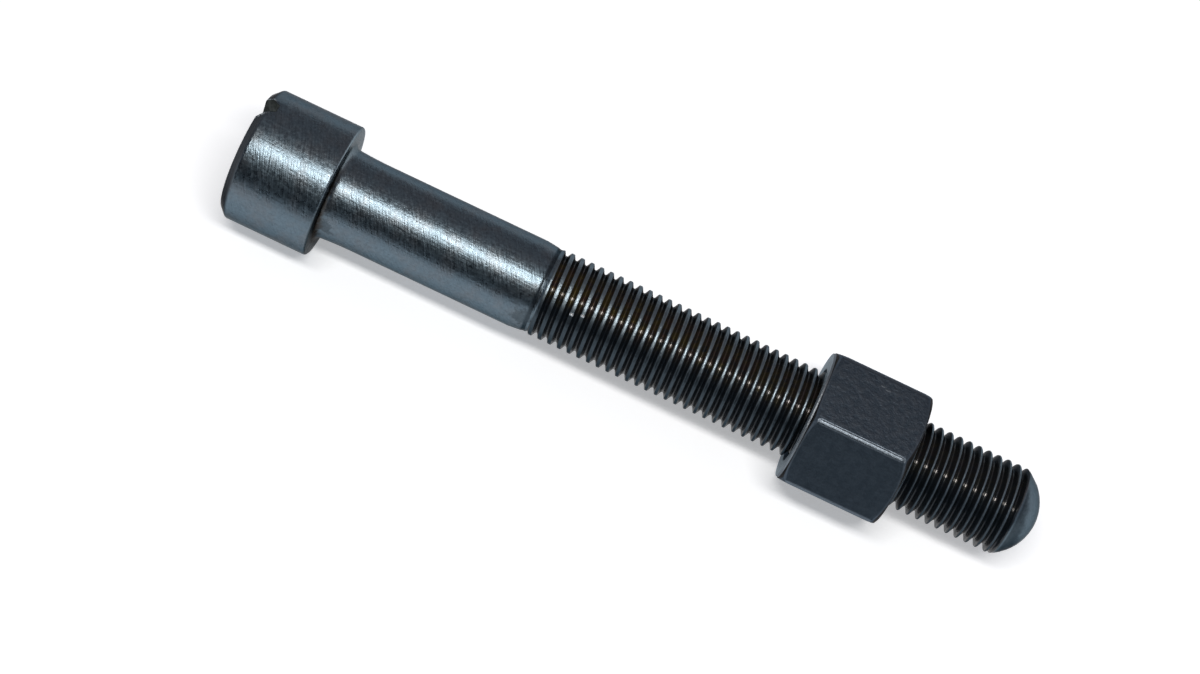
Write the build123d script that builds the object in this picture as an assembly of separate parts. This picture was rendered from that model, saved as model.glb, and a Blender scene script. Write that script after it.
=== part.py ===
from build123d import *
import math
import os

# A leaf spring center bolt with its nut, lying on its side on the round head and one flat of the nut.
# The bolt's axis is X, from the head towards the tip. The origin is the centre of the head's bearing
# face, and Z is up. All sizes are in millimetres.

INCH = 25.4

# Head: a plain round head that locates the spring on the axle, with a driver slot in its end
HEAD_DIAMETER = 15 / 16 * INCH
HEAD_HEIGHT = 16.3
HEAD_END_CHAMFER = 1.4
HEAD_EDGE_BREAK = 0.5
SLOT_WIDTH = 4.6  # at the mouth
SLOT_FLOOR_WIDTH = 1.6
SLOT_DEPTH = 2.8
SLOT_LEAN = 14.5  # degrees that the slot leans from upright, towards +Y

# Shank: a neck that swells a little towards the head, then a straight ground length
SHANK_DIAMETER = 5 / 8 * INCH
NECK_DIAMETER = 16.3
NECK_LENGTH = 6.4
NECK_FILLET = 0.5
SHANK_END = 36.1

# Thread: 14 turns to the inch, drawn as its outside diameter, between a run-out cone and a domed tip
THREAD_DIAMETER = 15.9
RUNOUT_DIAMETER = 15.24
RUNOUT_END = 39.1
THREAD_START_CHAMFER = 0.7
TIP_END = 131.0
TIP_RADIUS = 8.75

# Nut: a hexagon with its corners turned off at both ends, free to run along the thread
NUT_ACROSS_FLATS = 0.920 * INCH
NUT_HEIGHT = 18.3
NUT_SEAT = 88.0  # distance from the head's bearing face to the nut's
NUT_FACE_DIAMETER = 0.985 * NUT_ACROSS_FLATS
NUT_SEAT_ANGLE = 20.0  # turned corners at the end that faces the head
NUT_FRONT_ANGLE = 30.0  # and at the end that faces the tip
NUT_CLEARANCE = 0.08  # radial, around the thread's outside diameter
NUT_MOUTH_DIAMETER = 17.2
NUT_MOUTH_ANGLE = 45.0


def turned(*points):
    """The closed half outline through the points, as (distance along the axis, radius)."""
    return make_face(Polyline(*points, close=True))


def bolt_outline():
    """Half the bolt's section, along the axis from the tip and back over the head, shank and thread."""
    head_r = HEAD_DIAMETER / 2
    shank_r = SHANK_DIAMETER / 2
    thread_r = THREAD_DIAMETER / 2
    neck_r = NECK_DIAMETER / 2
    runout_r = RUNOUT_DIAMETER / 2
    thread_start = RUNOUT_END + THREAD_START_CHAMFER

    dome_centre = TIP_END - TIP_RADIUS
    dome_start = dome_centre + math.sqrt(TIP_RADIUS**2 - thread_r**2)
    half_turn = math.asin(thread_r / TIP_RADIUS) / 2
    dome_middle = (dome_centre + TIP_RADIUS * math.cos(half_turn), TIP_RADIUS * math.sin(half_turn))

    profile = Polyline(
        (TIP_END, 0),
        (-HEAD_HEIGHT, 0),
        (-HEAD_HEIGHT, head_r - HEAD_END_CHAMFER),
        (-HEAD_HEIGHT + HEAD_END_CHAMFER, head_r),
        (-HEAD_EDGE_BREAK, head_r),
        (0, head_r - HEAD_EDGE_BREAK),
        (0, neck_r),
        (NECK_LENGTH, shank_r),
        (SHANK_END, shank_r),
        (RUNOUT_END, runout_r),
        (thread_start, thread_r),
        (dome_start, thread_r),
    )
    dome = ThreePointArc((dome_start, thread_r), dome_middle, (TIP_END, 0))
    section = make_face(profile.edges() + dome.edges())
    under_head = section.vertices().sort_by_distance((0, neck_r))[0]
    return fillet(under_head, NECK_FILLET)


def driver_slot():
    """The tapered slot across the head's end, as the material that the cutter takes away."""
    mouth = SLOT_WIDTH / 2
    floor = SLOT_FLOOR_WIDTH / 2
    section = make_face(
        Polyline((-SLOT_DEPTH, -mouth), (0, -mouth), (SLOT_DEPTH, -floor), (SLOT_DEPTH, floor), (0, mouth),
                 (-SLOT_DEPTH, mouth), close=True)
    )
    cutter = extrude(section, HEAD_DIAMETER, both=True)
    return Pos(-HEAD_HEIGHT, 0, 0) * Rot(-SLOT_LEAN, 0, 0) * cutter


def center_bolt():
    """The bolt: one turned piece, with the driver slot milled across its head."""
    return revolve(bolt_outline(), Axis.X) - driver_slot()


def hex_nut():
    """The nut: a hexagon standing on a flat, trimmed by cones at its ends and bored with two mouths."""
    corner_r = NUT_ACROSS_FLATS / math.sqrt(3)
    face_r = NUT_FACE_DIAMETER / 2
    seat_drop = (corner_r - face_r) * math.tan(math.radians(NUT_SEAT_ANGLE))
    front_drop = (corner_r - face_r) * math.tan(math.radians(NUT_FRONT_ANGLE))
    bore_r = THREAD_DIAMETER / 2 + NUT_CLEARANCE
    mouth_r = NUT_MOUTH_DIAMETER / 2
    mouth_depth = (mouth_r - bore_r) / math.tan(math.radians(NUT_MOUTH_ANGLE))

    flats = RegularPolygon(NUT_ACROSS_FLATS / 2, 6, major_radius=False)
    hexagon = extrude(Plane.YZ * flats, NUT_HEIGHT)
    envelope = turned(
        (0, 0),
        (0, face_r),
        (seat_drop, corner_r),
        (NUT_HEIGHT - front_drop, corner_r),
        (NUT_HEIGHT, face_r),
        (NUT_HEIGHT, 0),
    )
    bore = turned(
        (0, 0),
        (0, mouth_r),
        (mouth_depth, bore_r),
        (NUT_HEIGHT - mouth_depth, bore_r),
        (NUT_HEIGHT, mouth_r),
        (NUT_HEIGHT, 0),
    )
    nut = (hexagon & revolve(envelope, Axis.X)) - revolve(bore, Axis.X)
    return Pos(NUT_SEAT, 0, 0) * nut


os.makedirs("parts", exist_ok=True)
export_step(center_bolt(), "parts/center_bolt.step")
export_step(hex_nut(), "parts/hex_nut.step")
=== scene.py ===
import math

import bmesh
import bpy
import numpy as np
from mathutils import Matrix, Vector


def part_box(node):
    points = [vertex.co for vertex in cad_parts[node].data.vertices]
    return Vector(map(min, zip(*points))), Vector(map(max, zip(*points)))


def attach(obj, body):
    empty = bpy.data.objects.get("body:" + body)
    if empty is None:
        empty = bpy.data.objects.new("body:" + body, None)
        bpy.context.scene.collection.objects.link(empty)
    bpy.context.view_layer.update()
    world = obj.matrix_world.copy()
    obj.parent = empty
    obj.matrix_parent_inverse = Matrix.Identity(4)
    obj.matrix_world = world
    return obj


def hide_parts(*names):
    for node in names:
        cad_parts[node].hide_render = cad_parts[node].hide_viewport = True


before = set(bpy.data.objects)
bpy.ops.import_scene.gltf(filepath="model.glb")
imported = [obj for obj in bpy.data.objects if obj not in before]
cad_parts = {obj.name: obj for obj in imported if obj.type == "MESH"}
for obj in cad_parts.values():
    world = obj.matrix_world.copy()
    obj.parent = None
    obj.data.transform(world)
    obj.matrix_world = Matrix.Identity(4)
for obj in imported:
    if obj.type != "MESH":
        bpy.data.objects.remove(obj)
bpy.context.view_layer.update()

MM = 0.001
INCH = 25.4 * MM
TINY = 0.001 * MM
BOLT_LOW, BOLT_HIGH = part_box("center_bolt")
NUT_LOW, NUT_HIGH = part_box("hex_nut")
FLOOR_Z = BOLT_LOW.z

# Bolt, along X from the head's end to the tip, with x = 0 at the head's bearing face
COLUMNS = 96  # vertices around the bolt
HEAD_END = BOLT_LOW.x
HEAD_RADIUS = BOLT_HIGH.y
HEAD_END_CHAMFER = 1.4 * MM
HEAD_END_ROUND = 0.6 * MM  # rounding of the chamfer's edges
HEAD_END_POINTS = 4
HEAD_EDGE_ROUND = 0.45 * MM  # and of the edge at the bearing face
HEAD_EDGE_POINTS = 6
HEAD_RINGS = np.linspace(0.75, 0.1, 5)  # rings along the head's side, as shares of its height
NECK_RADIUS = 8.15 * MM
NECK_LENGTH = 6.4 * MM
NECK_FILLET = 1.2 * MM
NECK_FILLET_POINTS = 7
NECK_RINGS = 6
SHANK_RADIUS = 5 / 16 * INCH
SHANK_END = 36.1 * MM
SHANK_RINGS = 8
RUNOUT_RADIUS = 7.62 * MM
RUNOUT_END = 39.1 * MM
SCORE_AT = 38.72 * MM  # a shallow line around the bolt, just before the thread
SCORE_DEPTH = 0.10 * MM
SCORE_WIDTH = 0.28 * MM
TIP_END = BOLT_HIGH.x
TIP_RADIUS = 8.75 * MM
DOME_RINGS = 8
DOME_GAP = 0.15 * MM  # from the thread's last row to the dome's first ring

# Driver slot across the head's end
SLOT_WIDTH = 4.6 * MM  # at the mouth
SLOT_FLOOR_WIDTH = 1.6 * MM
SLOT_DEPTH = 2.8 * MM
SLOT_LEAN = math.radians(14.5)  # from upright, towards +Y
SLOT_EDGE = 0.3 * MM
SLOT_EDGE_STEPS = 3
SLOT_EDGE_PROFILE = 0.5  # a round one
SLOT_SHARP = math.radians(20)  # edges turned further than this are eased
SLOT_MARGIN = 2 * MM  # how far past the slot's floor its cuts reach
SLOT_FLOOR = HEAD_END + SLOT_DEPTH
SLOT_TAPER = (SLOT_WIDTH - SLOT_FLOOR_WIDTH) / 2 / SLOT_DEPTH
SLOT_ACROSS = Vector((0, math.cos(SLOT_LEAN), -math.sin(SLOT_LEAN)))
SLOT_ALONG = Vector((0, math.sin(SLOT_LEAN), math.cos(SLOT_LEAN)))

# Thread: a right-hand helix of 55 degree form, with wide crests at the shank that narrow towards the tip
PITCH = INCH / 14
HALF_ANGLE = math.radians(27.5)
ROOT_ROUND = 0.1373 * PITCH
CREST_FULL = 80 * MM  # where the crests reach their full height
CREST_NARROW = 112 * MM  # and where they are narrowest
CREST_RADIUS = (7.8 * MM, 7.95 * MM)  # at the shank, and where they are full
CREST_HALF_WIDTH = (0.180 * PITCH, 0.115 * PITCH)
CREST_EASE = (0.04 * MM, 0.134 * MM)  # how far a crest's edges drop
CREST_POWER = (4, 2)  # how the drop grows: flat crests at the shank, round ones at the tip
CREST_SAMPLES = (-1, -0.6, 0, 0.6, 1)  # across a crest, in half widths
ROOT_SAMPLES = (-1, -0.5, 0, 0.5, 1)  # and across a root
CREST_AT_TOP = 40.98 * MM  # a crest's place on the side turned up in the photograph
TOP_ANGLE = math.radians(30)  # that side, around X from +Y towards +Z
THREAD_BEGINS = (39.0 * MM, 39.8 * MM)  # where the grooves reach full depth
THREAD_ENDS = (125.3 * MM, 126.4 * MM)  # where they run out on the tip
HELIX_START = SHANK_END + 0.05 * MM  # the thread's rows lie between these
HELIX_STOP = THREAD_ENDS[1] + 0.3 * MM

# Nut: a hexagon standing on a flat
NUT_APOTHEM = NUT_HIGH.z
NUT_HEIGHT = NUT_HIGH.x - NUT_LOW.x
NUT_CORNER_FLAT = 0.45 * MM  # width of the worn strip along each corner
NUT_CORNER_ROUND = 0.35 * MM
NUT_CORNER_POINTS = 5
NUT_FLAT_POINTS = 16
NUT_FACE_RADIUS = 0.985 * NUT_APOTHEM
NUT_WASHER = 0.3 * MM  # height of the round face at the end that faces the head
NUT_SEAT_SLOPE = math.tan(math.radians(12))  # turned corners at the end that faces the head
NUT_FRONT_SLOPE = math.tan(math.radians(30))  # and at the end that faces the tip
NUT_SEAT_SOFT = (1.2 * MM, 1.2 * MM)  # rounding of the first, across the axis and along it
NUT_FRONT_SOFT = (0.6 * MM, 1.1 * MM)  # and of the second
NUT_SOFT_POINTS = 5
NUT_EDGE = 0.14 * MM  # rounding where a turned corner is narrow
NUT_EDGE_SHARE = 0.4  # the most that it takes of the corner's width
NUT_CONE_START = 0.2  # a turned corner's first row, as a share of that rounding
NUT_FACE_INSETS = (2 * NUT_EDGE, 0.5 * NUT_EDGE)  # rows on an end face, in from its rim
NUT_RIM_ROUND = (0.4 * NUT_EDGE, 0.1 * NUT_EDGE)  # a row on the round face's rim: below it, and inwards
NUT_RIM_FOOT = 0.3 * NUT_EDGE  # the rim's last row, above the turned corner
NUT_BORE = 8.03 * MM
NUT_MOUTH = 8.6 * MM
NUT_MOUTH_EDGE = (0.05 * MM, 0.08 * MM)  # rounding of the mouth's rim, inwards and outwards
NUT_MIDDLE = (0.25, 0.5, 0.75)  # rows along the flats, as shares of the nut's height

SHARP_EDGE = math.radians(38)  # edges turned further than this are shaded as sharp


def smoothstep(low, high, x):
    """A smooth rise from 0 at low to 1 at high."""
    t = np.clip((x - low) / (high - low), 0, 1)
    return t * t * (3 - 2 * t)


def arc(centre, radius, start, end, count):
    """Points of an arc, as (x, r), from one angle to another, in degrees from +X towards +r."""
    angles = np.radians(np.linspace(start, end, count))
    return [(centre[0] + radius * math.cos(a), centre[1] + radius * math.sin(a)) for a in angles]


def head_profile():
    """The head's outline as (x, r), from its end to the edge of its bearing face."""
    blend = HEAD_END_ROUND * math.tan(math.radians(45 / 2))
    inner = (HEAD_END + HEAD_END_ROUND, HEAD_RADIUS - HEAD_END_CHAMFER - blend)
    outer = (HEAD_END + HEAD_END_CHAMFER + blend, HEAD_RADIUS - HEAD_END_ROUND)
    edge = (-HEAD_EDGE_ROUND, HEAD_RADIUS - HEAD_EDGE_ROUND)
    points = arc(inner, HEAD_END_ROUND, 180, 135, HEAD_END_POINTS)
    points += arc(outer, HEAD_END_ROUND, 135, 90, HEAD_END_POINTS)
    points += [(share * HEAD_END, HEAD_RADIUS) for share in HEAD_RINGS]
    return points + arc(edge, HEAD_EDGE_ROUND, 90, 0, HEAD_EDGE_POINTS)


def shank_profile():
    """The outline from the fillet under the head to the end of the shank, as (x, r)."""
    fillet = (NECK_FILLET, NECK_RADIUS + NECK_FILLET)
    points = arc(fillet, NECK_FILLET, 180, 270, NECK_FILLET_POINTS)
    lengths = np.linspace(0, 1, NECK_RINGS + 1)[1:]
    flare = (NECK_RADIUS - SHANK_RADIUS) * (1 - lengths) ** 2
    points += list(zip(NECK_FILLET + (NECK_LENGTH - NECK_FILLET) * lengths, SHANK_RADIUS + flare))
    return points + [(x, SHANK_RADIUS) for x in np.linspace(NECK_LENGTH, SHANK_END, SHANK_RINGS + 1)[1:]]


def dome_profile(start):
    """The domed tip's outline as (x, r), from where it starts to a ring short of its apex."""
    centre = TIP_END - TIP_RADIUS
    steepest = math.acos((start - centre) / TIP_RADIUS)
    angles = steepest * (1 - np.linspace(0, 1, DOME_RINGS + 1)[:-1])
    return [(centre + TIP_RADIUS * math.cos(a), TIP_RADIUS * math.sin(a)) for a in angles]


def along_thread(ends, x, settled):
    """A size at x that changes from the shank to the place where it has settled."""
    return ends[0] + (ends[1] - ends[0]) * np.clip((x - RUNOUT_END) / (settled - RUNOUT_END), 0, 1)


def thread_section(crest_x):
    """One turn's section as offsets along X from the crest and drops below it, sample by sample."""
    half = along_thread(CREST_HALF_WIDTH, crest_x, CREST_NARROW)
    ease = along_thread(CREST_EASE, crest_x, CREST_NARROW)
    power = along_thread(CREST_POWER, crest_x, CREST_NARROW)
    reach = ROOT_ROUND * math.cos(HALF_ANGLE)
    flank_end = PITCH / 2 - reach
    root_top = ease + (flank_end - half) / math.tan(HALF_ANGLE)
    middle = (half + flank_end) / 2
    section = [(f * half, ease * abs(f) ** power) for f in CREST_SAMPLES]
    section.append((middle, (ease + root_top) / 2))
    for f in ROOT_SAMPLES:
        sag = math.sqrt(ROOT_ROUND**2 - (f * reach) ** 2) - ROOT_ROUND * math.sin(HALF_ANGLE)
        section.append((PITCH / 2 + f * reach, root_top + sag))
    section.append((PITCH - middle, (ease + root_top) / 2))
    return section


def bolt_radius(x, crest_radius, drop):
    """The bolt's radius past the shank: the run-out cone, the thread and the domed tip."""
    taper = np.clip((x - SHANK_END) / (RUNOUT_END - SHANK_END), 0, 1)
    cone = SHANK_RADIUS + (RUNOUT_RADIUS - SHANK_RADIUS) * taper
    cone = cone - SCORE_DEPTH * np.exp(-(((x - SCORE_AT) / SCORE_WIDTH) ** 2))
    thread = crest_radius - drop * (1 - smoothstep(*THREAD_ENDS, x))
    radius = cone + (thread - cone) * smoothstep(*THREAD_BEGINS, x)
    from_centre = np.maximum(x - (TIP_END - TIP_RADIUS), 0)
    dome = np.sqrt(np.maximum(TIP_RADIUS**2 - from_centre**2, 0))
    return np.minimum(radius, dome)


def row(x, r):
    """A row of vertices around the bolt, from +Y towards +Z."""
    angles = np.arange(COLUMNS) * math.tau / COLUMNS
    return np.stack([np.broadcast_to(x, COLUMNS), r * np.cos(angles), r * np.sin(angles)], -1)


def thread_rows():
    """The rows of the thread, each once around the helix, and how many of them make one turn."""
    crest_at_y = CREST_AT_TOP - PITCH * TOP_ANGLE / math.tau
    first = math.floor((SHANK_END - crest_at_y) / PITCH)
    last = math.ceil((THREAD_ENDS[1] - crest_at_y) / PITCH)
    turned = np.arange(COLUMNS) / COLUMNS
    rows = []
    for turn in range(first, last + 1):
        crest_x = crest_at_y + PITCH * (turn + turned)
        crest_radius = along_thread(CREST_RADIUS, crest_x, CREST_FULL)
        section = thread_section(crest_x)
        for offset, drop in section:
            x = crest_x + offset
            if HELIX_START < x[0] < HELIX_STOP:
                rows.append(row(x, bolt_radius(x, crest_radius, drop)))
    return rows, len(section)


def strip(first, second):
    """Quads between two closed rows of vertex numbers, wound to face outwards."""
    return [
        (first[j], first[(j + 1) % COLUMNS], second[(j + 1) % COLUMNS], second[j])
        for j in range(COLUMNS)
    ]


def helix_faces(numbers, per_turn):
    """Quads of the helical grid, whose last column meets the first one a turn later."""
    faces = []
    for i in range(len(numbers) - 1):
        for j in range(COLUMNS - 1):
            faces.append((numbers[i][j], numbers[i][j + 1], numbers[i + 1][j + 1], numbers[i + 1][j]))
        if i + per_turn + 1 < len(numbers):
            a, b = numbers[i][-1], numbers[i + 1][-1]
            faces.append((a, numbers[i + per_turn][0], numbers[i + per_turn + 1][0], b))
    return faces


def bolt_mesh():
    """Vertices and faces of the bolt, with a plain end face on the head."""
    turned = [row(x, r) for x, r in head_profile() + shank_profile()]
    threaded, per_turn = thread_rows()
    domed = [row(x, r) for x, r in dome_profile(threaded[-1][:, 0].max() + DOME_GAP)]
    rows = turned + threaded + domed
    vertices = np.concatenate(rows + [np.array([[TIP_END, 0, 0]])])
    numbers = np.arange(len(rows) * COLUMNS).reshape(len(rows), COLUMNS).tolist()
    lathe = numbers[: len(turned)]
    helix = numbers[len(turned) : len(turned) + len(threaded)]
    tip = numbers[len(turned) + len(threaded) :]

    faces = [tuple(reversed(lathe[0]))]
    for a, b in zip(lathe, lathe[1:]):
        faces += strip(a, b)
    faces += strip(lathe[-1], helix[0])[:-1]
    seam = [helix[i][0] for i in range(per_turn + 1)]
    faces.append((lathe[-1][-1], lathe[-1][0], *seam, helix[0][-1]))
    faces += helix_faces(helix, per_turn)
    faces += strip(helix[-1], tip[0])[:-1]
    seam = [helix[-1 - i][-1] for i in range(per_turn + 1)]
    faces.append((helix[-1][0], tip[0][0], tip[0][-1], *seam))
    for a, b in zip(tip, tip[1:]):
        faces += strip(a, b)
    apex = len(vertices) - 1
    faces += [(tip[-1][j], tip[-1][(j + 1) % COLUMNS], apex) for j in range(COLUMNS)]
    return vertices, faces


def past_slot_wall(point, side):
    """How far a point lies past one wall of the slot, measured across it."""
    return side * point.dot(SLOT_ACROSS) + (point.x - HEAD_END) * SLOT_TAPER - SLOT_WIDTH / 2


def cut(bm, faces, point, normal):
    """Cuts faces along a plane, and gives back the faces on both sides of it."""
    edges = dict.fromkeys(e for f in faces for e in f.edges)
    corners = dict.fromkeys(v for f in faces for v in f.verts)
    result = bmesh.ops.bisect_plane(bm, geom=[*faces, *edges, *corners], plane_co=point, plane_no=normal)
    return [part for part in result["geom"] if isinstance(part, bmesh.types.BMFace)]


def mill_slot(bm):
    """Takes the surface away over the driver slot, on the head's end and on its side."""
    near = [f for f in bm.faces if f.calc_center_median().x < SLOT_FLOOR + SLOT_MARGIN]
    for side in (-1, 1):
        on_wall = Vector((HEAD_END, 0, 0)) + SLOT_ACROSS * side * SLOT_WIDTH / 2
        near = cut(bm, near, on_wall, SLOT_ACROSS * side + Vector((SLOT_TAPER, 0, 0)))
    between = [f for f in near if max(past_slot_wall(f.calc_center_median(), s) for s in (-1, 1)) < 0]
    between = cut(bm, between, (SLOT_FLOOR, 0, 0), (1, 0, 0))
    milled = [f for f in between if f.calc_center_median().x < SLOT_FLOOR]
    bmesh.ops.delete(bm, geom=milled, context="FACES")


def close_slot(bm):
    """Adds the slot's two walls and its floor, and gives them back."""
    rim = dict.fromkeys(v for e in bm.edges if e.is_boundary for v in e.verts)

    def face(corners, order):
        lower = sorted((v for v in corners if v.co.dot(SLOT_ALONG) < 0), key=order)
        upper = sorted((v for v in corners if v.co.dot(SLOT_ALONG) > 0), key=order, reverse=True)
        return bm.faces.new(lower + upper)

    faces = []
    for side in (-1, 1):
        wall = [v for v in rim if abs(past_slot_wall(v.co, side)) < TINY]
        faces.append(face(wall, lambda v: -v.co.x))
    floor = [v for v in rim if abs(v.co.x - SLOT_FLOOR) < TINY]
    faces.append(face(floor, lambda v: v.co.dot(SLOT_ACROSS)))
    return faces


def cut_driver_slot(bm):
    """Mills the tapered slot across the head's end, which is one flat face, and eases its edges."""
    mill_slot(bm)
    faces = close_slot(bm)
    bmesh.ops.recalc_face_normals(bm, faces=bm.faces)
    sharp = dict.fromkeys(e for f in faces for e in f.edges if e.calc_face_angle() > SLOT_SHARP)
    bmesh.ops.bevel(
        bm,
        geom=list(sharp),
        offset=SLOT_EDGE,
        segments=SLOT_EDGE_STEPS,
        profile=SLOT_EDGE_PROFILE,
        affect="EDGES",
        clamp_overlap=True,
    )


def pointing(angle):
    """The direction at an angle, as (y, z)."""
    return np.array([math.cos(angle), math.sin(angle)])


def worn_hexagon():
    """The nut's outline as (y, z), flats up and down, with a worn strip along each corner."""
    sixth, bend = math.pi / 3, math.pi / 12
    strip_at = NUT_APOTHEM / math.cos(sixth / 2) - NUT_CORNER_FLAT / 2 * math.tan(sixth / 2)
    inset = NUT_CORNER_ROUND / math.cos(bend)

    def strip_end(middle, turn):
        return pointing(middle) * strip_at + pointing(middle + math.pi / 2) * turn * NUT_CORNER_FLAT / 2

    points = []
    for k in range(6):
        middle = k * sixth
        for turn in (-1, 1):
            bisector = middle + turn * bend
            centre = strip_end(middle, turn) - inset * pointing(bisector)
            angles = bisector + np.linspace(-bend, bend, NUT_CORNER_POINTS)
            points += [centre + NUT_CORNER_ROUND * pointing(a) for a in angles]
        flat = strip_end(middle + sixth, -1) - points[-1]
        points += [points[-1] + flat * f for f in np.linspace(0, 1, NUT_FLAT_POINTS + 2)[1:-1]]
    return np.array(points)


def nut_end(radius, washer, slope, soft):
    """Rows as (depth below the end, radius) from the bore to the flats, at one end of the nut."""
    past = np.maximum(radius - NUT_FACE_RADIUS, 0)
    drop = washer + past * slope
    edge = np.minimum(NUT_EDGE, NUT_EDGE_SHARE * past)
    first = NUT_CONE_START * edge
    share = past / past.max()
    out = edge + (soft[0] - NUT_EDGE) * share
    along = edge + (soft[1] - NUT_EDGE) * share
    rows = [
        (NUT_MOUTH - NUT_BORE, NUT_BORE),
        (NUT_MOUTH_EDGE[0], NUT_MOUTH - NUT_MOUTH_EDGE[0]),
        (0, NUT_MOUTH + NUT_MOUTH_EDGE[1]),
    ]
    rows += [(0, NUT_FACE_RADIUS - inset) for inset in NUT_FACE_INSETS]
    if washer:
        rows.append((NUT_RIM_ROUND[0], NUT_FACE_RADIUS - NUT_RIM_ROUND[1]))
        rows.append((washer - NUT_RIM_FOOT, NUT_FACE_RADIUS))
    rows.append((washer + first * slope, NUT_FACE_RADIUS + first))
    for f in np.linspace(0, 1, NUT_SOFT_POINTS):
        inward = out * (1 - f) ** 2
        rows.append((drop - inward * slope + along * f**2, radius - inward))
    return rows


def nut_mesh():
    """Vertices and faces of the nut: hexagon, turned corners, end faces, mouths and bore."""
    outline = worn_hexagon()
    count = len(outline)
    radius = np.linalg.norm(outline, axis=1)
    unit = outline / radius[:, None]
    profile = nut_end(radius, NUT_WASHER, NUT_SEAT_SLOPE, NUT_SEAT_SOFT)
    profile += [(NUT_HEIGHT * f, radius) for f in NUT_MIDDLE]
    front = nut_end(radius, 0, NUT_FRONT_SLOPE, NUT_FRONT_SOFT)
    profile += [(NUT_HEIGHT - depth, r) for depth, r in reversed(front)]

    rows = [
        np.column_stack([NUT_LOW.x + np.broadcast_to(x, count), unit * np.broadcast_to(r, count)[:, None]])
        for x, r in profile
    ]
    numbers = np.arange(len(rows) * count).reshape(len(rows), count)
    faces = []
    for a, b in zip(numbers, np.roll(numbers, -1, axis=0)):
        for j in range(count):
            k = (j + 1) % count
            faces.append((int(a[j]), int(a[k]), int(b[k]), int(b[j])))
    return np.concatenate(rows), faces


def piece(name, vertices, faces, edit=None):
    """A smooth-shaded mesh object, with sharp edges left crisp."""
    mesh = bpy.data.meshes.new(name)
    mesh.from_pydata(vertices.tolist(), [], faces)
    bm = bmesh.new()
    bm.from_mesh(mesh)
    if edit:
        edit(bm)
    bmesh.ops.recalc_face_normals(bm, faces=bm.faces)
    bm.to_mesh(mesh)
    bm.free()
    mesh.polygons.foreach_set("use_smooth", np.ones(len(mesh.polygons), bool))
    mesh.set_sharp_from_angle(angle=SHARP_EDGE)
    obj = bpy.data.objects.new(name, mesh)
    bpy.context.scene.collection.objects.link(obj)
    return obj


NUMBER_INPUTS, NUMBER_OUTPUT = (2, 3), 0  # a Mix node's sockets for numbers
COLOUR_INPUTS, COLOUR_OUTPUT = (6, 7), 2  # and for colours


class Graph:
    """A node tree under construction: most methods add nodes and give back an output."""

    def __init__(self, tree, coordinates):
        self.tree = tree
        self.position = self.node("TexCoord", out=coordinates)
        self.x, self.y, self.z = self.add("SeparateXYZ", self.position).outputs

    def feed(self, socket, value):
        """Links an output to a socket, or sets the socket's value."""
        if isinstance(value, bpy.types.NodeSocket):
            self.tree.links.new(value, socket)
        else:
            socket.default_value = (*value, 1) if socket.type == "RGBA" else value

    def add(self, kind, *inputs, **settings):
        """A new node, with its settings made and its first inputs fed."""
        node = self.tree.nodes.new("ShaderNode" + kind)
        for key, value in settings.items():
            setattr(node, key, value)
        for socket, value in zip(node.inputs, inputs):
            self.feed(socket, value)
        return node

    def node(self, kind, *inputs, out=0, **settings):
        return self.add(kind, *inputs, **settings).outputs[out]

    def math(self, operation, *inputs):
        return self.node("Math", *inputs, operation=operation)

    def vector(self, operation, *inputs):
        return self.node("VectorMath", *inputs, operation=operation)

    def measure(self, operation, *inputs):
        """A number got from vectors."""
        return self.node("VectorMath", *inputs, operation=operation, out="Value")

    def step(self, value, low, high, start=0.0, end=1.0):
        """A smooth step from start at low to end at high."""
        return self.node("MapRange", value, low, high, start, end, interpolation_type="SMOOTHSTEP")

    def all_of(self, *masks):
        product = masks[0]
        for mask in masks[1:]:
            product = self.math("MULTIPLY", product, mask)
        return product

    def mix(self, mask, a, b):
        """A colour between a and b."""
        node = self.add("Mix", mask, data_type="RGBA")
        for i, value in zip(COLOUR_INPUTS, (a, b)):
            self.feed(node.inputs[i], value)
        return node.outputs[COLOUR_OUTPUT]

    def blend(self, mask, a, b):
        """A number between a and b."""
        node = self.add("Mix", mask)
        for i, value in zip(NUMBER_INPUTS, (a, b)):
            self.feed(node.inputs[i], value)
        return node.outputs[NUMBER_OUTPUT]

    def shade(self, colour, factor):
        """A colour made lighter or darker by a factor."""
        node = self.add("VectorMath", colour, operation="SCALE")
        self.feed(node.inputs["Scale"], factor)
        return node.outputs["Vector"]

    def noise(self, vector, size, detail=2.0, roughness=0.5):
        """Noise from 0 to 1 whose features are about the given size."""
        node = self.add("TexNoise", vector)
        for name, value in (("Scale", 1 / size), ("Detail", detail), ("Roughness", roughness)):
            node.inputs[name].default_value = value
        return node.outputs["Fac"]

    def centred(self, noise, weight):
        """Noise around 0 instead of a half, weighted."""
        return self.math("MULTIPLY_ADD", noise, weight, -weight / 2)


RING_SIZE = 0.4 * MM  # lathe rings on the end faces
RING_DEPTH = 0.05 * MM
RING_CONTRAST = 0.8
RING_BASE = 0.6  # brightness between the rings
NICK_SHAPE = (0.4, 1, 1)  # nicks are longest along the axis
NICK_SIZE = 0.32 * MM


class Surface(Graph):
    """A material under construction."""

    def __init__(self, name):
        self.material = bpy.data.materials.new(name)
        self.material.use_nodes = True
        super().__init__(self.material.node_tree, "Object")
        self.shader = self.tree.nodes["Principled BSDF"]

    def bump(self, *layers):
        """Gives the shader a normal from heights and how deep each of them is."""
        normal = None
        for height, depth in layers:
            node = self.add("Bump")
            self.feed(node.inputs["Distance"], depth)
            self.feed(node.inputs["Height"], height)
            if normal:
                self.feed(node.inputs["Normal"], normal)
            normal = node.outputs[0]
        self.feed(self.shader.inputs["Normal"], normal)

    def finish(self, **inputs):
        """Sets the shader's inputs, and gives back the material."""
        for name, value in inputs.items():
            self.feed(self.shader.inputs[name.replace("_", " ")], value)
        return self.material


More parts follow.
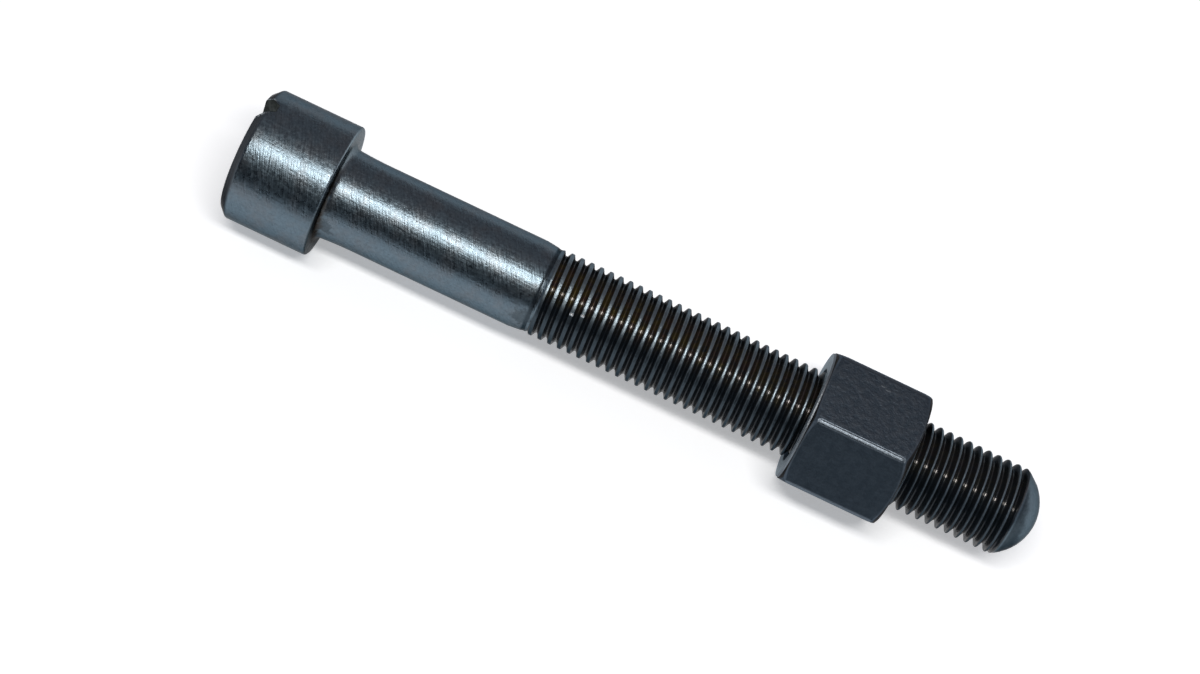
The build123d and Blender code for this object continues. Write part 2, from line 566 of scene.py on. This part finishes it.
class SteelSurface(Surface):
    """A material under construction for steel that lies around the bolt's axis."""

    def __init__(self, name):
        super().__init__(name)
        self.radius = self.measure("LENGTH", self.vector("MULTIPLY", self.position, (0, 1, 1)))

    def towards(self, direction):
        """How far a point lies in a direction, from the origin."""
        return self.measure("DOT_PRODUCT", self.position, direction)

    def ringed(self, colour, face):
        """The fine rings that a lathe leaves on an end face: their heights, and a colour with them."""
        rings = self.noise(self.node("CombineXYZ", self.radius), RING_SIZE, 1.0)
        rings = self.math("MULTIPLY", face, rings)
        brightness = self.math("MULTIPLY_ADD", rings, RING_CONTRAST, self.blend(face, 1.0, RING_BASE))
        return rings, self.shade(colour, brightness)

    def nicks(self, places):
        """Small raised marks, from 0 to 1."""
        marks = None
        for place in places:
            away = self.vector("MULTIPLY", self.vector("SUBTRACT", self.position, place), NICK_SHAPE)
            mark = self.step(self.measure("LENGTH", away), NICK_SIZE, 0.0)
            marks = self.math("MAXIMUM", marks, mark) if marks else mark
        return marks


# Colours of the bolt
STEEL = (0.120, 0.165, 0.200)
STEEL_WARM = (0.132, 0.160, 0.184)
CHAMFER_STEEL = (0.050, 0.054, 0.060)
# Under the head: pale on the upturned side as painted light, and darker below as painted shade
UNDER_HEAD = (0.220, 0.275, 0.310)
UNDER_HEAD_STAIN = (0.042, 0.039, 0.036)
UNDER_HEAD_SHADE = (0.062, 0.079, 0.090)
STAIN = (0.060, 0.076, 0.088)
SCORE_STEEL = (0.044, 0.058, 0.070)
# Crests: painted lit on the upturned side, and in painted shade below it
CREST_STEEL = (0.150, 0.192, 0.224)
CREST_SHADE = (0.050, 0.066, 0.080)
GROOVE_BLACK = (0.010, 0.015, 0.021)
# Brown and gold of the oil, laid where light falls in the grooves: partly a painted sheen
GROOVE_GOLD = (0.052, 0.040, 0.010)
GROOVE_BROWN = (0.038, 0.022, 0.015)
GROOVE_DRY = (0.040, 0.046, 0.052)
# Tip: bare steel, and a stain that also stands for painted shade on the lower side
DOME_STEEL = (0.125, 0.166, 0.198)
DOME_STAIN_AND_SHADE = (0.050, 0.066, 0.079)
# Slot: darker inside, and a lip painted bright as a highlight
SLOT_STEEL = (0.048, 0.053, 0.052)
SLOT_DARK = (0.024, 0.027, 0.026)
LIP_PAINTED_HIGHLIGHT = (0.260, 0.290, 0.305)
NICK_STEEL = (0.55, 0.58, 0.60)
EDGE_TINT = (0.35, 0.35, 0.35)

# Noises of the bolt, as size, detail and roughness, and strokes, as lean from the axis, length and width
MOTTLE = (3.5 * MM, 4.0, 0.6)
PATCHES = (2.4 * MM, 4.0, 0.6)
SPOTS = (1.1 * MM, 3.0, 0.6)
GRAIN = (0.5 * MM, 2.0, 0.6)
HATCH = (math.radians(63), 2.4 * MM, 0.27 * MM)
STREAKS = (math.radians(3), 5.0 * MM, 0.4 * MM)
STREAK_WEIGHT = 0.5
SKIN_RADIUS = 9 * MM  # at which the head and shank are rolled out flat for their strokes

# Limits of the bolt's finishes along its axis: from none of a finish to all of it, unless amounts follow
GROUND_STARTS = (-15.4 * MM, -14.6 * MM)
GROUND_STOPS = (39.2 * MM, 38.8 * MM)
HEAD_END_STOPS = (-14.5 * MM, -15.3 * MM)
UNDER_HEAD_STARTS = (-0.35 * MM, -0.1 * MM)
UNDER_HEAD_STOPS = (2.3 * MM, 0.9 * MM)
UNDER_HEAD_RAGGED = 1.6 * MM  # how far noise moves that limit
SCORE_STARTS = (38.05 * MM, 38.5 * MM)
SCORE_STOPS = (39.1 * MM, 38.9 * MM)
THREAD_STARTS = (39.4 * MM, 39.6 * MM)
THREAD_STOPS = (126.6 * MM, 126.2 * MM)
BROWN_FADES = (40 * MM, 125 * MM, 1.0, 0.15)
DOME_STARTS = (126.4 * MM, 126.9 * MM)

# And around it, by how far a point lies towards the upturned side: there crests and the face under the head
# are painted lit, lower down in painted shade, and the oil browns, partly a painted sheen
UPTURNED_SIDE = (0, math.cos(TOP_ANGLE), math.sin(TOP_ANGLE))
# the stain by the neck thins towards the upturned side, where the face is painted lit
STAIN_FADES = (2.5 * MM, 5.0 * MM, 1.0, 0.25)
# where the face under the head passes from painted light into painted shade
UNDER_HEAD_DARKENS = (1 * MM, -5 * MM)
# where the crests pass from painted light into painted shade
CREST_SHADE_FALLS = (0.0, -3.5 * MM)
# the grooves' brown and gold oil is kept to where light falls in them: partly a painted sheen
BROWN_STARTS = (-2.5 * MM, 1.5 * MM)
OIL_STOPS = (6.6 * MM, 4.0 * MM)
OIL_DRIES = (4.5 * MM, 6.6 * MM)
COAT_GROWS = (-3.5 * MM, -0.5 * MM, 0.3, 0.9)

# Other limits of the bolt's finishes, by noise, radius, depth or distance, and the places of its marks
WARM_PATCHES = (0.38, 0.70)
GOLD_PATCHES = (0.4, 0.6)
BROWN_SPOTS = (0.25, 0.6)
SLOT_SPOTS = (0.35, 0.65)
SLOT_WALL_EDGE = (0.16 * MM, 0.04 * MM)  # past the slot's walls
SLOT_FLOOR_EDGE = (0.12 * MM, 0.0)  # past its floor
LIP_STARTS = (0.05 * MM, 0.2 * MM)  # past the walls
LIP_STOPS = (0.7 * MM, 0.4 * MM)
LIP_BOTTOM = (-0.6 * MM, -1.2 * MM)  # from the floor, towards the mouth
LIP_STROKES = (0.42, 0.54)
NICK_BARE = (0.1, 0.4)
GLINTS = (-0.35, 0.35)
GROOVE_DEPTH = (0.03 * MM, 0.10 * MM)
STAIN_RADIUS = (11.6 * MM, 10.2 * MM)
STAIN_RAGGED = 2.5 * MM
DOME_BARE = (128.6 * MM, 130.4 * MM)
DOME_RAGGED = 3 * MM
DOME_LEAN = 0.3  # how far the bare steel of the tip leans to the upturned side: a painted lighter top, with painted shade below
NECK_SMUDGE = (1.2 * MM, -7.9 * MM, 1.6 * MM)
END_SMUDGE = (37.7 * MM, -7.7 * MM, 1.6 * MM)
SMUDGE_EDGE = (4.0 * MM, 3.2 * MM)
SMUDGE_RAGGED = 4.0 * MM
SMUDGE_STRENGTH = 0.7
BOLT_NICKS = ((45.2 * MM, -5.25 * MM, 5.77 * MM), (47.0 * MM, -4.80 * MM, 6.15 * MM))

# Relief and gloss of the bolt. Pairs are for the rest of the bolt and the ground steel, unless said
SPECKLE_STROKES = 0.28
SPECKLE_GRAIN = 0.6
SPECKLE = (0.9, 1.2)
GLINT_GRAIN = 0.8
GRAIN_LEFT = (1.0, 0.55)
GRAIN_DEPTH = 0.05 * MM
STROKE_DEPTH = 0.042 * MM
BOLT_NICK_DEPTH = 0.16 * MM
POLISH = (0.26, 0.40)  # roughness of the ground steel, from its shiniest to its dullest
THREAD_POLISH = (0.38, 0.36)  # of crests, and of grooves
DOME_POLISH = 0.36
OILED_METAL = 0.6
COAT_POLISH = 0.08


class BoltSurface(SteelSurface):
    """The bolt's material, with the noises and masks that its finishes share."""

    def __init__(self):
        super().__init__("bolt_steel")
        self.mottle = self.noise(self.position, *MOTTLE)
        self.patches = self.noise(self.position, *PATCHES)
        self.spots = self.noise(self.position, *SPOTS)
        self.grain = self.noise(self.position, *GRAIN)
        self.hatch = self.strokes(*HATCH)
        streaks = self.centred(self.strokes(*STREAKS), STREAK_WEIGHT)
        self.brushed = self.math("ADD", self.centred(self.hatch, 1.0), streaks)

        self.side = self.towards(UPTURNED_SIDE)
        self.ground = self.all_of(self.step(self.x, *GROUND_STARTS), self.step(self.x, *GROUND_STOPS))
        self.head_end = self.step(self.x, *HEAD_END_STOPS)
        self.thread = self.all_of(self.step(self.x, *THREAD_STARTS), self.step(self.x, *THREAD_STOPS))
        crest = self.node("MapRange", self.x, RUNOUT_END, CREST_FULL, *CREST_RADIUS)
        below_crest = self.math("SUBTRACT", crest, self.radius)
        self.groove = self.all_of(self.thread, self.step(below_crest, *GROOVE_DEPTH))
        self.oiled = self.all_of(self.groove, self.step(self.side, *OIL_STOPS))
        self.dome = self.step(self.x, *DOME_STARTS)

    def strokes(self, lean, length, width):
        """Streaks from 0 to 1, laid on the surface rolled out flat: along the axis, and around it."""
        turn = self.math("ARCTAN2", self.math("MULTIPLY", self.y, -1.0), self.z)
        skin = self.node("CombineXYZ", self.x, self.math("MULTIPLY", turn, SKIN_RADIUS))
        laid = self.node(
            "Mapping", skin, (0, 0, 0), (0, 0, lean), (length, width, 1), vector_type="TEXTURE"
        )
        return self.noise(laid, 1.0)

    def ragged(self, noise, reach, value):
        """A value pushed up by noise, for a limit with a ragged edge."""
        return self.math("MULTIPLY_ADD", noise, reach, value)

    def smudge(self, place):
        """A ragged spot around a place."""
        away = self.measure("DISTANCE", self.position, place)
        return self.step(self.ragged(self.spots, SMUDGE_RAGGED, away), *SMUDGE_EDGE)


def ground_colour(g):
    """Steel of the head and shank: mottled, smudged at both ends, scored before the thread."""
    smudges = g.math("MAXIMUM", g.smudge(NECK_SMUDGE), g.smudge(END_SMUDGE))
    score = g.all_of(g.step(g.x, *SCORE_STARTS), g.step(g.x, *SCORE_STOPS))
    colour = g.mix(g.step(g.mottle, *WARM_PATCHES), STEEL, STEEL_WARM)
    colour = g.mix(g.math("MULTIPLY", smudges, SMUDGE_STRENGTH), colour, STAIN)
    colour = g.mix(score, colour, SCORE_STEEL)
    return g.mix(g.head_end, colour, CHAMFER_STEEL)


def under_head_colour(g, colour):
    """The bearing face and the fillet, stained near the neck, painted pale on top as light and darker below
    as painted shade.
    """
    fillet = g.step(g.ragged(g.spots, UNDER_HEAD_RAGGED, g.x), *UNDER_HEAD_STOPS)
    under_head = g.all_of(g.step(g.x, *UNDER_HEAD_STARTS), fillet)
    near_neck = g.step(g.ragged(g.patches, STAIN_RAGGED, g.radius), *STAIN_RADIUS)
    stained = g.math("MULTIPLY", near_neck, g.step(g.side, *STAIN_FADES))
    face = g.mix(g.step(g.side, *UNDER_HEAD_DARKENS), UNDER_HEAD, UNDER_HEAD_SHADE)
    return g.mix(under_head, colour, g.mix(stained, face, UNDER_HEAD_STAIN))


def thread_colour(g, colour):
    """Crests painted lit on the upturned side and in painted shade below it, and oily grooves that turn
    brown towards the upturned side, partly as a painted sheen, and dry at its middle.
    """
    crests = g.mix(g.step(g.side, *CREST_SHADE_FALLS), CREST_STEEL, CREST_SHADE)
    browned = g.all_of(g.node("MapRange", g.x, *BROWN_FADES), g.step(g.side, *BROWN_STARTS))
    brown = g.mix(g.step(g.patches, *GOLD_PATCHES), GROOVE_BROWN, GROOVE_GOLD)
    oil = g.mix(g.math("MULTIPLY", browned, g.step(g.spots, *BROWN_SPOTS)), GROOVE_BLACK, brown)
    grooves = g.mix(g.step(g.side, *OIL_DRIES), oil, GROOVE_DRY)
    return g.mix(g.groove, g.mix(g.thread, colour, crests), grooves)


def dome_colour(g, colour):
    """The domed tip, stained at its edge and bare at its middle, the bare steel reaching further on the
    upturned side as painted light and the stain further below as painted shade.
    """
    towards_tip = g.math("MULTIPLY_ADD", g.side, DOME_LEAN, g.ragged(g.patches, DOME_RAGGED, g.x))
    bare = g.step(towards_tip, *DOME_BARE)
    return g.mix(g.dome, colour, g.mix(bare, DOME_STAIN_AND_SHADE, DOME_STEEL))


def slot_colour(g, colour):
    """The driver slot, dark and mottled inside, with a bright lip around its mouth that is a painted
    highlight.
    """
    across = g.math("ABSOLUTE", g.towards(SLOT_ACROSS))
    wall = SLOT_WIDTH / 2 + HEAD_END * SLOT_TAPER
    past_wall = g.math("SUBTRACT", g.math("MULTIPLY_ADD", g.x, SLOT_TAPER, across), wall)
    past_floor = g.math("SUBTRACT", g.x, SLOT_FLOOR)
    inside = g.all_of(g.step(past_wall, *SLOT_WALL_EDGE), g.step(past_floor, *SLOT_FLOOR_EDGE))
    lip = g.all_of(
        g.step(past_wall, *LIP_STARTS),
        g.step(past_wall, *LIP_STOPS),
        g.step(past_floor, *LIP_BOTTOM),
        g.step(g.hatch, *LIP_STROKES),
    )
    darkened = g.mix(g.step(g.spots, *SLOT_SPOTS), SLOT_DARK, SLOT_STEEL)
    return g.mix(inside, g.mix(lip, colour, LIP_PAINTED_HIGHLIGHT), darkened)


def bolt_steel():
    """Blackened ground steel: brushed head and shank, oily grooves, bright crests and a dull tip."""
    g = BoltSurface()
    colour = ground_colour(g)
    for laid_over in (under_head_colour, thread_colour, dome_colour, slot_colour):
        colour = laid_over(g, colour)
    speckle = g.math("MULTIPLY_ADD", g.brushed, SPECKLE_STROKES, g.centred(g.grain, SPECKLE_GRAIN))
    colour = g.shade(colour, g.math("MULTIPLY_ADD", speckle, g.blend(g.ground, *SPECKLE), 1.0))
    rings, colour = g.ringed(colour, g.head_end)
    nicks = g.nicks(BOLT_NICKS)
    colour = g.mix(g.step(nicks, *NICK_BARE), colour, NICK_STEEL)
    g.bump(
        (g.math("MULTIPLY", g.grain, g.blend(g.ground, *GRAIN_LEFT)), GRAIN_DEPTH),
        (g.math("MULTIPLY", g.brushed, g.ground), STROKE_DEPTH),
        (rings, RING_DEPTH),
        (nicks, BOLT_NICK_DEPTH),
    )
    glints = g.math("ADD", g.centred(g.grain, GLINT_GRAIN), g.brushed)
    polish = g.blend(g.step(glints, *GLINTS), *POLISH)
    polish = g.blend(g.thread, polish, g.blend(g.groove, *THREAD_POLISH))
    return g.finish(
        Base_Color=colour,
        Metallic=g.blend(g.oiled, 1.0, OILED_METAL),
        Roughness=g.blend(g.dome, polish, DOME_POLISH),
        Specular_Tint=EDGE_TINT,
        Coat_Weight=g.math("MULTIPLY", g.oiled, g.step(g.side, *COAT_GROWS)),
        Coat_Roughness=COAT_POLISH,
    )


# Colours of the nut
NUT_STEEL = (0.053, 0.073, 0.098)
NUT_PALE = (0.076, 0.095, 0.119)
# Painted shade on the flat turned to the front, and its paler mottle
NUT_SHADE = (0.034, 0.047, 0.062)
NUT_SHADE_PALE = (0.043, 0.058, 0.075)
NUT_FACE = (0.130, 0.155, 0.175)
NUT_SEAT_FACE = (0.320, 0.385, 0.435)
NUT_CONE = (0.040, 0.040, 0.041)
NUT_WORN = (0.115, 0.142, 0.172)
NUT_RIM = (0.200, 0.230, 0.260)

# Noise and limits of the nut's finishes, and the places of its marks
NUT_MOTTLE = (1.3 * MM, 4.0, 0.7)  # size, detail and roughness
PALE_MOTTLE = (0.35, 0.68)
DARK_FLAT = (0, -math.sin(math.pi / 3), math.cos(math.pi / 3))  # the way the flat painted in shade faces
FLAT_STARTS = (NUT_APOTHEM - 0.12 * MM, NUT_APOTHEM - 0.04 * MM)
CORNER_STARTS = (13.15 * MM, 13.28 * MM)
CONE_STARTS = (NUT_FACE_RADIUS, NUT_FACE_RADIUS + 0.1 * MM)
CONE_EDGE = (0.12 * MM, 0.04 * MM)
BORDER_STARTS = (0.04 * MM, 0.12 * MM)
BORDER_STOPS = (0.42 * MM, 0.22 * MM)
BORDER_WEAR = 0.3
FACE_EDGE = (0.09 * MM, 0.03 * MM)
WASHER_EDGE = (NUT_WASHER + 0.05 * MM, NUT_WASHER)
RIM_EDGE = (0.16 * MM, 0.08 * MM)
NUT_NICK_BARE = (0.1, 0.5, 0.0, 0.4)
NUT_NICKS = ((97.2 * MM, 4.57 * MM, NUT_APOTHEM), (98.1 * MM, 4.2 * MM, NUT_APOTHEM))

# Relief and gloss of the nut
CALM = 0.4  # what is left of the relief on the dark flat and the corners
DENT_DEPTH = 0.16 * MM
NUT_NICK_DEPTH = 0.03 * MM
NUT_POLISH = (0.5, 0.38)  # roughness of the flats, and of the worn corners


class NutSurface(SteelSurface):
    """The nut's material, with a mask for each kind of face."""

    def __init__(self):
        super().__init__("nut_steel")
        self.dark = self.step(self.towards(DARK_FLAT), *FLAT_STARTS)
        self.corner = self.step(self.radius, *CORNER_STARTS)
        seat_depth = self.math("SUBTRACT", self.x, NUT_LOW.x)
        front_depth = self.math("SUBTRACT", NUT_HIGH.x, self.x)
        self.seat = self.step(seat_depth, *FACE_EDGE)
        self.face = self.step(self.math("MINIMUM", seat_depth, front_depth), *FACE_EDGE)
        past_cone = self.math(
            "MINIMUM",
            self.past_cone(seat_depth, NUT_SEAT_SLOPE, NUT_WASHER),
            self.past_cone(front_depth, NUT_FRONT_SLOPE, 0.0),
        )
        self.cone = self.all_of(self.step(self.radius, *CONE_STARTS), self.step(past_cone, *CONE_EDGE))
        self.border = self.all_of(self.step(past_cone, *BORDER_STARTS), self.step(past_cone, *BORDER_STOPS))
        from_rim = self.math("ABSOLUTE", self.math("SUBTRACT", self.radius, NUT_FACE_RADIUS))
        self.rim = self.all_of(self.step(seat_depth, *WASHER_EDGE), self.step(from_rim, *RIM_EDGE))

    def past_cone(self, depth, slope, start):
        """How much deeper below an end face a point lies than the turned corner does at its radius."""
        past = self.math("MAXIMUM", self.math("SUBTRACT", self.radius, NUT_FACE_RADIUS), 0.0)
        return self.math("SUBTRACT", depth, self.math("MULTIPLY_ADD", past, slope, start))


def nut_steel():
    """Matt blackened steel, mottled, with turned ends, bright worn corners and painted shade on the flat
    turned to the front.
    """
    g = NutSurface()
    mottle = g.noise(g.position, *NUT_MOTTLE)
    grain = g.noise(g.position, *GRAIN)
    pale = g.step(mottle, *PALE_MOTTLE)
    worn = g.math("MAXIMUM", g.corner, g.math("MULTIPLY", g.border, BORDER_WEAR))
    colour = g.mix(pale, NUT_STEEL, NUT_PALE)
    # the flat turned to the front gets painted shade
    colour = g.mix(g.dark, colour, g.mix(pale, NUT_SHADE, NUT_SHADE_PALE))
    for mask, steel in ((worn, NUT_WORN), (g.cone, NUT_CONE), (g.face, NUT_FACE), (g.seat, NUT_SEAT_FACE)):
        colour = g.mix(mask, colour, steel)
    rings, colour = g.ringed(colour, g.face)
    colour = g.mix(g.rim, colour, NUT_RIM)
    nicks = g.nicks(NUT_NICKS)
    colour = g.mix(g.step(nicks, *NUT_NICK_BARE), colour, NUT_RIM)
    calm = g.blend(g.math("MAXIMUM", g.dark, g.corner), 1.0, CALM)
    g.bump(
        (g.math("MULTIPLY", grain, calm), GRAIN_DEPTH),
        (g.math("MULTIPLY", mottle, calm), DENT_DEPTH),
        (rings, RING_DEPTH),
        (nicks, NUT_NICK_DEPTH),
    )
    polish = g.blend(g.corner, *NUT_POLISH)
    return g.finish(Base_Color=colour, Metallic=1.0, Roughness=polish, Specular_Tint=EDGE_TINT)


# Floor, room and light
FLOOR_RADIUS = 4.0
FLOOR_SIDES = 64
FLOOR_WHITE = (0.78, 0.84, 0.90)
FLOOR_GLOW = 0.36  # what the lit floor lacks to show white, near the bolt
FAR_GLOW = 0.90  # and where the light no longer reaches
FAR_AWAY = 0.85  # how far that is from the floor's middle
WHITE = (1.0, 1.0, 1.0)
FRONT_TO_BACK = (-0.6, 0.5)  # limits of a direction's Y
FRONT_GLOW = 0.036
BACK_GLOW = 0.225
FRONT_TINT = (0.72, 0.90, 1.15)
BACK_TINT = (1.0, 0.91, 0.96)
END_WALLS = (0.45, 0.95, 0.0, 0.25)  # limits of a direction's X either way, and the glow at each
HORIZON_TOP = (0.12, 0.085)  # limits of a direction's Z
HORIZON_FRONT = (-0.8, -0.5)  # and of its Y, where the horizon begins
HORIZON_GLOW = 1.0
KEY_ELEVATION = math.radians(73)
KEY_DISTANCE = 0.8
KEY_SIZE = (0.60, 0.105)
KEY_POWER = 5.3
KEY_COLOUR = (1.0, 0.92, 0.85)

# Camera, measured in the photograph, whose frame is 1200 pixels wide
ALONG = Vector((1, 0, 0))  # the bolt's axis, for the light too
PHOTO_WIDTH = 1200
PIXEL = 0.16942 * MM  # size of a pixel at the bolt's axis
VIEW_DISTANCE = 2450 * PIXEL
VIEW_ELEVATION = math.radians(60)
VIEW_ROLL = math.radians(25.375)  # how far the bolt dips to the right
VIEW_ALONG = 51.03 * MM  # where the line of sight meets the bolt, along X
VIEW_BELOW = 3.0 * MM  # and how far below its axis in the picture
SENSOR_WIDTH = 36.0
CLIP_START = 0.01


def make_floor():
    """A pale floor that takes the shadow and shows white to the camera and in reflections."""
    bpy.ops.mesh.primitive_circle_add(
        vertices=FLOOR_SIDES, radius=FLOOR_RADIUS, fill_type="NGON", location=(0, 0, FLOOR_Z)
    )
    floor = bpy.context.object
    floor.name = "floor"
    g = Surface("floor_white")
    path = g.add("LightPath").outputs
    seen = g.math("MAXIMUM", path["Is Camera Ray"], path["Is Glossy Ray"])
    seen = g.math("MAXIMUM", seen, path["Is Transmission Ray"])
    glow = g.step(g.measure("LENGTH", g.position), 0.0, FAR_AWAY, FLOOR_GLOW, FAR_GLOW)
    material = g.finish(
        Base_Color=FLOOR_WHITE,
        Roughness=1.0,
        Specular_IOR_Level=0.0,
        Emission_Color=WHITE,
        Emission_Strength=g.math("MULTIPLY", seen, glow),
    )
    floor.data.materials.append(material)


def make_world():
    """A dim room with pale walls behind the bolt and past its ends, and white at the horizon."""
    world = bpy.data.worlds.new("studio")
    bpy.context.scene.world = world
    world.use_nodes = True
    g = Graph(world.node_tree, "Generated")
    room = g.step(g.y, *FRONT_TO_BACK, FRONT_GLOW, BACK_GLOW)
    room = g.math("ADD", room, g.step(g.math("ABSOLUTE", g.x), *END_WALLS))
    tint = g.mix(g.step(g.y, *FRONT_TO_BACK), FRONT_TINT, BACK_TINT)
    horizon = g.all_of(g.step(g.z, *HORIZON_TOP), g.step(g.y, *HORIZON_FRONT))
    background = world.node_tree.nodes["Background"].inputs
    g.feed(background["Strength"], g.blend(horizon, room, HORIZON_GLOW))
    g.feed(background["Color"], g.mix(horizon, tint, WHITE))


def turned_to(right, up, back):
    """The rotation of a camera or a light from where its own axes point."""
    return Matrix((right, up, back)).transposed().to_4x4()


def make_key():
    """A soft strip light over the bolt, a little towards the camera."""
    light = bpy.data.lights.new("key", "AREA")
    light.shape = "RECTANGLE"
    light.size, light.size_y = KEY_SIZE
    light.energy = KEY_POWER
    light.color = KEY_COLOUR
    key = bpy.data.objects.new("key", light)
    towards = Vector((0, -math.cos(KEY_ELEVATION), math.sin(KEY_ELEVATION)))
    place = ALONG * (HEAD_END + TIP_END) / 2 + towards * KEY_DISTANCE
    key.matrix_world = Matrix.Translation(place) @ turned_to(ALONG, towards.cross(ALONG), towards)
    bpy.context.scene.collection.objects.link(key)


def make_camera():
    """The photograph's camera: square to the bolt, looking down on it, and rolled."""
    camera = bpy.data.objects.new("camera", bpy.data.cameras.new("camera"))
    back = Vector((0, -math.cos(VIEW_ELEVATION), math.sin(VIEW_ELEVATION)))
    above = back.cross(ALONG)
    right = ALONG * math.cos(VIEW_ROLL) + above * math.sin(VIEW_ROLL)
    place = ALONG * VIEW_ALONG - above * VIEW_BELOW + back * VIEW_DISTANCE
    camera.matrix_world = Matrix.Translation(place) @ turned_to(right, back.cross(right), back)
    camera.data.sensor_width = SENSOR_WIDTH
    camera.data.lens = SENSOR_WIDTH * VIEW_DISTANCE / PIXEL / PHOTO_WIDTH
    camera.data.clip_start = CLIP_START
    bpy.context.scene.collection.objects.link(camera)
    bpy.context.scene.camera = camera


bolt = piece("threaded_bolt", *bolt_mesh(), edit=cut_driver_slot)
bolt.data.materials.append(bolt_steel())
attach(bolt, "bolt")
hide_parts("center_bolt")

nut = piece("chamfered_nut", *nut_mesh())
nut.data.materials.append(nut_steel())
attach(nut, "nut")
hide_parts("hex_nut")

make_floor()
make_world()
make_key()
make_camera()
bpy.context.scene.view_settings.view_transform = "Standard"
